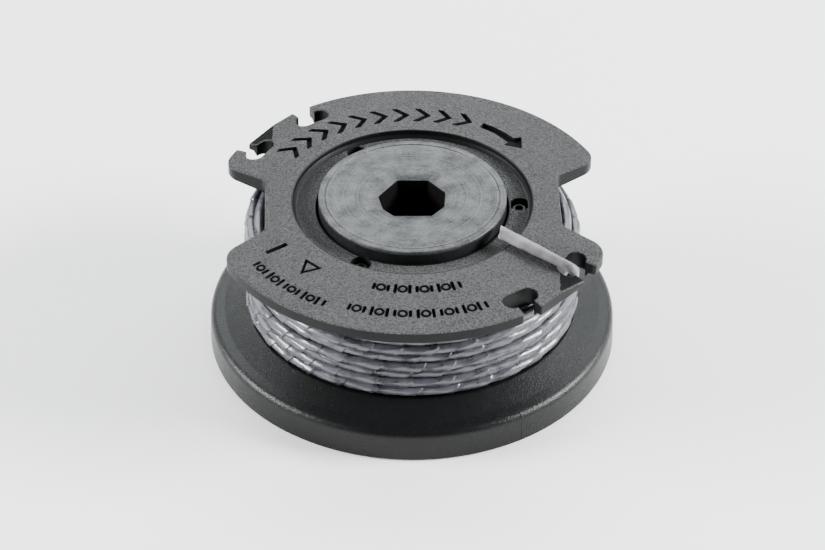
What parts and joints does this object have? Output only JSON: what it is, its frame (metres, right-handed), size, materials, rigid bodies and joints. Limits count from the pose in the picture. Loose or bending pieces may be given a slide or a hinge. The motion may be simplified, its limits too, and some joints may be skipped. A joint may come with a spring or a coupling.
{
  "type": "trimmer line spool",
  "caption": "Flanged spool wound with twisted cutting line, with line slots and notches in its upper flange and a sprung keyed drive hub in the middle.",
  "frame": {"origin": "centre of the foot ring that the spool stands on", "axes": "+Z along the spool's axis towards the hub; X through the two side notches; Y across them"},
  "size_m": [0.0618, 0.0618, 0.0265],
  "materials": {
    "body_plastic": "fine spark-eroded grain, black glass-filled nylon",
    "base_plastic": "satin, black glass-filled nylon",
    "cap_plastic": "satin",
    "pins": "satin",
    "bush": "sintered bronze",
    "hub_plastic": "smooth satin grey acetal",
    "ring_plastic": "smooth",
    "spring_steel": "drawn wire",
    "clip_steel": "oiled",
    "line": "translucent twisted nylon"
  },
  "bodies": {
    "root": {"spool_body": "body_plastic", "base_flange": "base_plastic", "base_cap": "cap_plastic", "fixing_pins": "pins", "hub_bush": "bush", "hub_spring": "spring_steel", "line_winding": "line", "line_tail": "line"},
    "press_ring": {"thrust_ring": "ring_plastic"},
    "hub": {"drive_hub": "hub_plastic", "retaining_clip": "clip_steel"}
  },
  "joints": [
    {"name": "hub_press", "type": "slide", "parent": "root", "child": "press_ring", "axis": [0, 0, -1], "range_m": [0, 0.003], "stiffness_N_per_m": 1200, "springref_m": -0.004, "deforming": ["hub_spring"]},
    {"name": "hub_turn", "type": "hinge", "parent": "press_ring", "child": "hub", "pos_m": [0, 0, 0], "axis": [0, 0, 1], "continuous": true}
  ]
}
